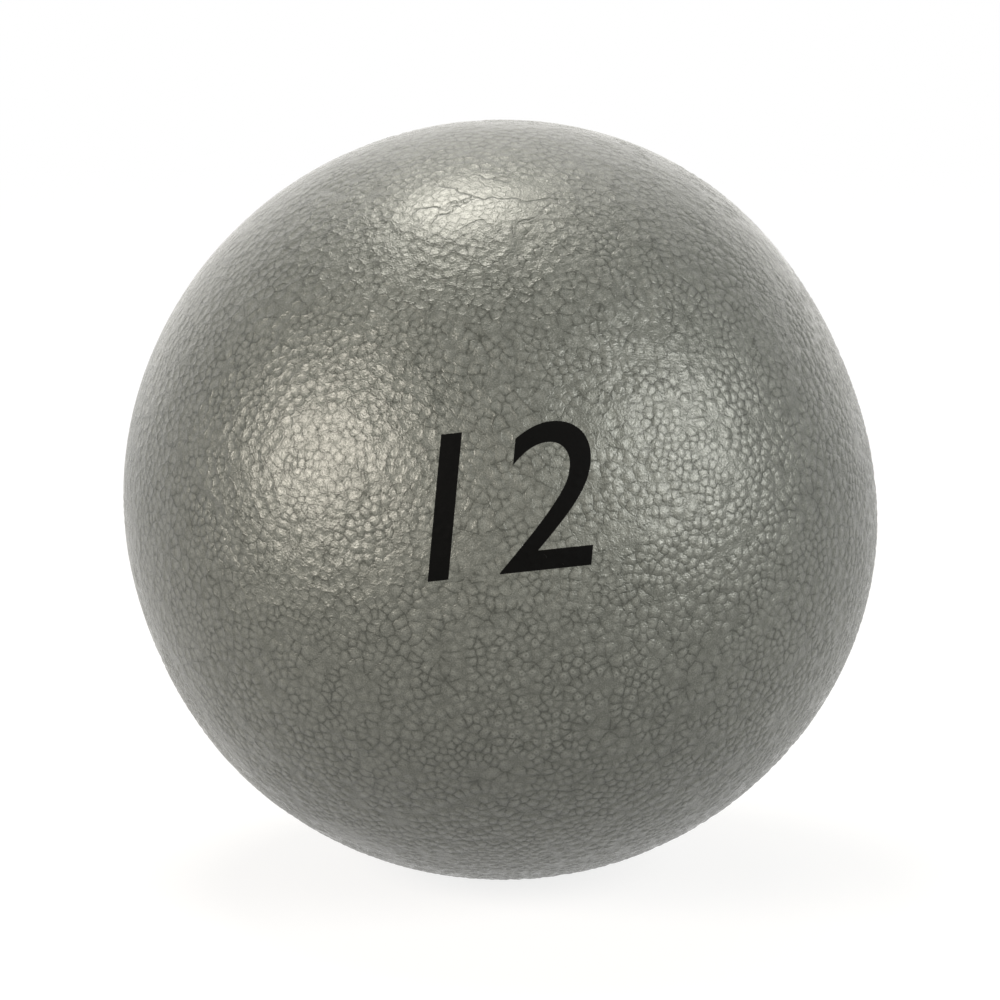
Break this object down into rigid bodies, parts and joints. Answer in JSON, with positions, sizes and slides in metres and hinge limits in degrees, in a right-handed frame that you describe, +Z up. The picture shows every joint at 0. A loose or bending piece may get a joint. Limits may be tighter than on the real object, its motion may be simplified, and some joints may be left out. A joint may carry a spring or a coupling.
{
  "type": "shot put ball",
  "caption": "Enamelled iron throwing ball, slightly flattened where its gate and riser were ground off, with a lead core behind a flush screwed plug.",
  "frame": {"origin": "the centre of the ball, which is also the centre of the ring or hand that it rests in", "axes": "+Z up, -Z into the rest that holds it; the numbered face looks along -Y and the plug looks along +Y"},
  "size_m": [0.112, 0.1125, 0.113],
  "materials": {
    "hammertone_enamel": "gloss",
    "enamelled_steel": "gloss",
    "cast_lead": "matte",
    "sheet_lead": "satin",
    "vulcanised_fibre": "matte"
  },
  "bodies": {
    "root": {"iron_ball": "hammertone_enamel", "screw_plug": "enamelled_steel", "packing_disc": "vulcanised_fibre", "trim_disc_1": "sheet_lead", "trim_disc_2": "sheet_lead", "trim_disc_3": "sheet_lead", "lead_slug": "cast_lead"}
  },
  "joints": []
}
